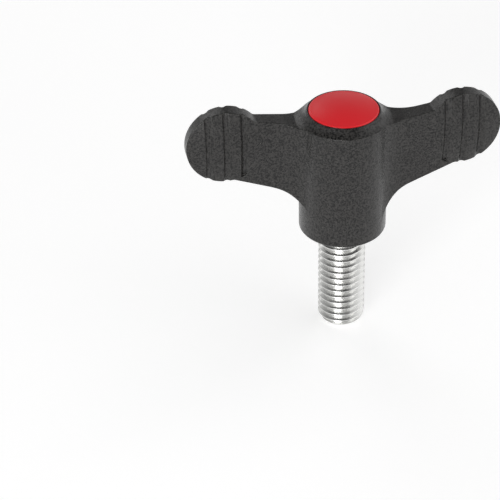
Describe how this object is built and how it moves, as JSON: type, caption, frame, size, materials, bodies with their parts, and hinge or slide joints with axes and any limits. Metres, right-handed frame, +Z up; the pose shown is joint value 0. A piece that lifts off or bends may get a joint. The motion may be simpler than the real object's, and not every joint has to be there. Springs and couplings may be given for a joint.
{
  "type": "wing knob",
  "caption": "Two-winged clamping knob of black moulded plastic with grooved round grips, a threaded steel stud and a domed red cover cap.",
  "frame": {"origin": "centre of the seat face, where the hub's foot bears on the machine", "axes": "-Z down along the stud, +Z up through the cover cap, +X along one wing, the grip faces point to -Y and +Y"},
  "size_m": [0.0516, 0.0146, 0.0441],
  "materials": {
    "body": "black glass-filled thermoplastic with a fine spark-eroded grain",
    "stud": "bright zinc plate on steel",
    "cap": "satin-gloss red thermoplastic"
  },
  "bodies": {
    "root": {"wing_body": "body", "threaded_stud": "stud", "cover_cap": "cap"}
  },
  "joints": []
}
